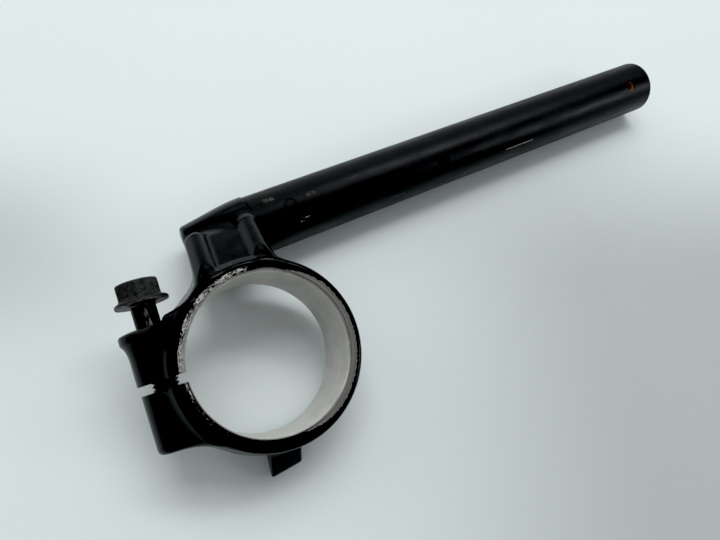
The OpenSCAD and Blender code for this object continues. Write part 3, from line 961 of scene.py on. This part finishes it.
class CLIPON_OT_bar(bpy.types.Operator):
    """Draws the bar tube with its two holes, and paints it"""

    bl_idname = "clipon.bar"
    bl_label = "Bar tube"

    def execute(self, context):
        s = sizes_of(context.scene.clipon_clamp)
        b = sizes_of(context.scene.clipon_bar)
        f = context.scene.clipon_finishes
        break_out, break_in, seat_spare, burr_foot = 0.3, 0.4, 0.5, 0.6
        base, out, side, lift = bar_frame(s)
        start, end = s.boss_end, s.boss_end + b.tube_length
        seat_end = start + s.spigot_length + seat_spare
        e = b.edge
        profile = [(b.seat_radius, start), (BAR_R - break_out, start), (BAR_R, start + break_out)]
        profile += [(BAR_R, h) for h in np.linspace(start + break_out, end - e, 60)[1:-1]]
        profile += [(BAR_R - e * (1 - math.sin(a)), end - e * (1 - math.cos(a)))
                    for a in np.radians([90, 67, 45, 22, 0])]
        profile += [(TUBE_BORE_R + break_in, end), (TUBE_BORE_R, end - break_in)]
        profile += [(TUBE_BORE_R, h) for h in np.linspace(end - break_in, seat_end, 50)[1:]]
        profile += [(b.seat_radius, seat_end)]
        tube = turned_piece("Bar_tube", profile, 144, base, side, lift, out)
        cutters, burrs = [], []
        for at, facing, radius, burr in (
                (start + b.switch_hole_at, b.switch_hole_angle, b.switch_hole / 2, 0.1),
                (end - b.end_hole_in, b.end_hole_angle, b.end_hole / 2, 1.8)):
            a = math.radians(facing)
            up = side * math.cos(a) + lift * math.sin(a)
            axes = base + out * at, out, np.cross(up, out), up
            cutters.append(turned_piece(
                "hole", [(0, 0), (radius, 0), (radius, 16), (0, 16)], 48, *axes))
            low, high = TUBE_BORE_R - burr, TUBE_BORE_R + burr_foot
            burrs.append(turned_piece(
                "burr", [(0, low), (radius + 0.25, low), (radius + 0.9, high), (0, high)], 48,
                *axes))
        carve(tube, burrs, "UNION")
        carve(tube, cutters)

        def field(p):
            q = p - base
            r = np.hypot(q @ side, q @ lift)
            return np.maximum(r - BAR_R, TUBE_BORE_R - r)

        shade(tube, 30)
        true_normals(tube, field)
        finish_piece(tube, "bar_tube", bar_material(s, f))
        return {"FINISHED"}


def bolt_field(q, b):
    """Distance to the bolt in its own frame: Z to the head, 0 under the flange."""
    z = q[:, 2]
    r = np.hypot(q[:, 0], q[:, 1])
    turn = np.arctan2(q[:, 1], q[:, 0])
    half_flats = b.hex_flats / 2
    steep, slant = math.sin(math.radians(60)), math.sqrt(0.5)
    flats = [np.abs(q[:, 0] * math.cos(a) + q[:, 1] * math.sin(a)) - half_flats
             for a in np.radians(b.hex_turn + np.array([30.0, 90.0, 150.0]))]
    hexagon = meet(meet(flats[0], flats[1], 0.5), flats[2], 0.5)
    crown = (r - half_flats + 0.1) * 0.5 + (z - b.head_height) * steep
    hexagon = np.maximum(meet(meet(hexagon, z - b.head_height, 0.5), crown, 0.4), 0.5 - z)
    rise = np.clip((b.flange_radius - r) / (b.flange_radius - half_flats), 0.0, 1.0)
    dish = z - b.flange_thickness - b.cone_height * rise
    flange = meet(meet(r - b.flange_radius, dish, 0.7), -z, 0.5)
    hollow = meet(r - half_flats + 2.6, b.head_height - 0.5 - z, 0.5)
    top = cut(join(flange, hexagon, 0.8), hollow, 0.6)
    phase = z / b.pitch - turn / (2 * math.pi)
    tooth = np.abs(phase - np.round(phase)) * 2.0
    run_out = smoothstep(z, -b.shank_length - 1.6, -b.shank_length + 0.2)
    depth = b.thread_depth * (1.0 - run_out) * np.clip((tooth - 0.15) / 0.65, 0.0, 1.0)
    crest = b.crest_radius - (b.crest_radius - b.shank_radius) * run_out
    point = (r - z - b.bolt_length - b.crest_radius + 1.1) * slant
    thread = meet((r - crest + depth) * 0.66, point, 0.3)
    thread = meet(meet(thread, -z - b.bolt_length, 0.3), z + b.shank_length - 0.2, 0.3)
    half = b.shank_length / 2
    shank = meet(r - b.shank_radius, np.abs(z + half) - half, 0.2)
    return join(np.minimum(shank, thread), top, 0.7)


class CLIPON_OT_bolt(bpy.types.Operator):
    """Forges the pinch bolt with its flange, hexagon and rolled thread"""

    bl_idname = "clipon.bolt"
    bl_label = "Pinch bolt"

    def execute(self, context):
        s = sizes_of(context.scene.clipon_clamp)
        b = sizes_of(context.scene.clipon_bolt)
        f = context.scene.clipon_finishes
        origin, away, head, up = bolt_frame(s)
        under_head = origin + head * (s.seat_height + b.backed_off)
        around, below, above = b.flange_radius + 0.7, b.bolt_length + 0.5, b.head_height + 0.7

        def local_field(q):
            return bolt_field(q, b)

        def field(p):
            q = p - under_head
            return local_field(np.stack([q @ up, q @ away, q @ head], 1))

        points, quads = skin_mesh(local_field, (-around, -around, -below),
                                  (around, around, above), [0.3, 0.3, 0.18])
        bolt = mesh_object("Pinch_bolt", place(points, under_head, up, away, head), quads)
        vertex_mask(bolt, "edge", edge_mask(field, vertices_of(bolt), 0.4, 0.03, 0.14))
        shade(bolt, 60)
        true_normals(bolt, field)
        finish_piece(bolt, "pinch_bolt", bolt_material(s, f))
        return {"FINISHED"}


def resting_plane(s, b):
    """Normal and height of the floor: the part lies on its collar, the tube's end and the tab."""
    base, out, side, lift = bar_frame(s)
    slant = (BAR_R - s.collar_radius) / b.tube_length
    corners = [np.array([-s.tab_place + w * s.tab_width / 2, -s.tab_reach, -s.web_height])
               for w in (-0.9, 0.9)]
    low, high = 0.0, math.radians(40)
    for _ in range(40):
        tilt = (low + high) / 2
        n = unit(side * math.sin(tilt) + lift * math.cos(tilt) + out * slant)
        level = n @ (base + out * s.boss_end) - s.collar_radius
        if min(n @ c for c in corners) > level:
            low = tilt
        else:
            high = tilt
    return n, level


def lamp(name, axes, aside, beyond, height, width, depth, power, mirrored=True):
    """A soft box facing the part, placed in metres by the floor's axes and middle."""
    across, far, n, middle = axes
    data = bpy.data.lights.new(name, "AREA")
    data.shape = "RECTANGLE"
    data.size, data.size_y = width, depth
    data.energy = power
    data.color = (0.95, 0.98, 1.0)
    back = unit(across * (aside - 0.05) + far * beyond + n * height)
    wide = unit(across - (across @ back) * back)
    at = across * aside + far * beyond + n * height + middle * MM
    lamp_object = bpy.data.objects.new(name, data)
    columns = np.column_stack([wide, np.cross(back, wide), back, at])
    lamp_object.matrix_world = Matrix([*columns.tolist(), (0, 0, 0, 1)])
    lamp_object.visible_camera = False
    lamp_object.visible_glossy = mirrored
    bpy.context.scene.collection.objects.link(lamp_object)


def room(far):
    """Even light from all round, paler beyond the part and dim in mirror images."""
    world = bpy.data.worlds.new("Room")
    world.use_nodes = True
    world.node_tree.nodes.clear()
    w = Wiring(world.node_tree)
    way = w.node("ShaderNodeTexCoord").outputs["Generated"]
    ahead = w.vector("DOT_PRODUCT", way, far)
    mirrored = w.node("ShaderNodeLightPath").outputs["Is Glossy Ray"]
    seen = w.times(mirrored, w.step(ahead, 0.4, 0.95, 0.12, 0.3))
    lit = w.times(w.without(mirrored), w.step(ahead, 0.0, 0.6, 0.36, 0.78))
    background = w.node("ShaderNodeBackground")
    background.inputs["Color"].default_value = (0.97, 0.99, 1.0, 1.0)
    w.put(background.inputs["Strength"], w.plus(seen, lit))
    w.put(w.node("ShaderNodeOutputWorld").inputs["Surface"], background.outputs[0])
    return world


class CLIPON_OT_stage(bpy.types.Operator):
    """Lays the pale floor and sets up the studio lights and the camera"""

    bl_idname = "clipon.stage"
    bl_label = "Stage"

    def execute(self, context):
        scene = context.scene
        s = sizes_of(scene.clipon_clamp)
        b = sizes_of(scene.clipon_bar)
        right = unit([0.832, -0.4035, 0.381])
        forward = unit([0.430, 0.037, -0.902])
        eye_at = (-0.03966, 0.00600, 0.17408)
        floor_half = 3000
        forward = unit(forward - (forward @ right) * right)
        up = np.cross(right, forward)
        n, level = resting_plane(s, b)
        far = unit(up - (up @ n) * n)
        across = np.cross(far, n)
        middle = n * level

        points = [middle + (across * i + far * j) * floor_half
                  for i, j in ((-1, -1), (1, -1), (1, 1), (-1, 1))]
        floor = mesh_object("Floor", points, [(0, 1, 2, 3)])
        floor.data.materials.append(floor_material(scene.clipon_finishes, across, far))

        camera = bpy.data.cameras.new("Camera")
        camera.sensor_width = 36.0
        camera.sensor_fit = "HORIZONTAL"
        camera.lens = 27.05
        camera.clip_start, camera.clip_end = 0.005, 20.0
        eye = bpy.data.objects.new("Camera", camera)
        columns = np.column_stack([right, up, -forward, eye_at])
        eye.matrix_world = Matrix([*columns.tolist(), (0, 0, 0, 1)])
        scene.collection.objects.link(eye)
        scene.camera = eye

        axes = across, far, n, middle
        lamp("Key", axes, -0.08, 0.5, 0.95, 0.6, 0.5, 4.2, mirrored=False)
        lamp("Ceiling", axes, 0.38, 0.52, 0.95, 0.5, 0.16, 2.2)
        lamp("Window", axes, -0.1, 0.9, 0.45, 0.7, 0.3, 0.35)
        lamp("Side", axes, 1.02, -0.1, 0.56, 0.25, 0.3, 1.3)
        lamp("Left", axes, -0.85, 0.42, 0.6, 0.5, 0.5, 0.9)
        scene.world = room(far)
        scene.view_settings.view_transform = "Standard"
        scene.view_settings.use_curve_mapping = True
        scene.view_settings.curve_mapping.black_level = (0.015, 0.015, 0.015)
        scene.view_settings.curve_mapping.update()
        return {"FINISHED"}


class CLIPON_PT_sidebar(bpy.types.Panel):
    """Sizes and steps of the clip-on handlebar"""

    bl_label = "Clip-on handlebar"
    bl_idname = "CLIPON_PT_sidebar"
    bl_space_type = "VIEW_3D"
    bl_region_type = "UI"
    bl_category = "Clip-on"

    def draw(self, context):
        layout = self.layout
        scene = context.scene
        for label, group, step in (
                ("Clamp", scene.clipon_clamp, "clipon.clamp"),
                ("Bar tube", scene.clipon_bar, "clipon.bar"),
                ("Pinch bolt", scene.clipon_bolt, "clipon.bolt"),
                ("Finishes", scene.clipon_finishes, "clipon.stage")):
            column = layout.column(align=True)
            column.label(text=label)
            for prop in type(group).bl_rna.properties:
                if prop.identifier not in {"name", "rna_type"}:
                    column.prop(group, prop.identifier)
            column.operator(step)


CLASSES = (
    ClampSizes, BarSizes, BoltSizes, Finishes, CLIPON_OT_clamp, CLIPON_OT_bar, CLIPON_OT_bolt,
    CLIPON_OT_stage, CLIPON_PT_sidebar)


def register():
    for cls in CLASSES:
        bpy.utils.register_class(cls)
    bpy.types.Scene.clipon_clamp = PointerProperty(type=ClampSizes)
    bpy.types.Scene.clipon_bar = PointerProperty(type=BarSizes)
    bpy.types.Scene.clipon_bolt = PointerProperty(type=BoltSizes)
    bpy.types.Scene.clipon_finishes = PointerProperty(type=Finishes)


def unregister():
    for name in ("clipon_clamp", "clipon_bar", "clipon_bolt", "clipon_finishes"):
        delattr(bpy.types.Scene, name)
    for cls in reversed(CLASSES):
        bpy.utils.unregister_class(cls)


def main():
    register()
    make_groups(sizes_of(bpy.context.scene.clipon_clamp))
    bpy.ops.clipon.clamp()
    bpy.ops.clipon.bar()
    bpy.ops.clipon.bolt()
    bpy.ops.clipon.stage()


if __name__ == "__main__":
    main()
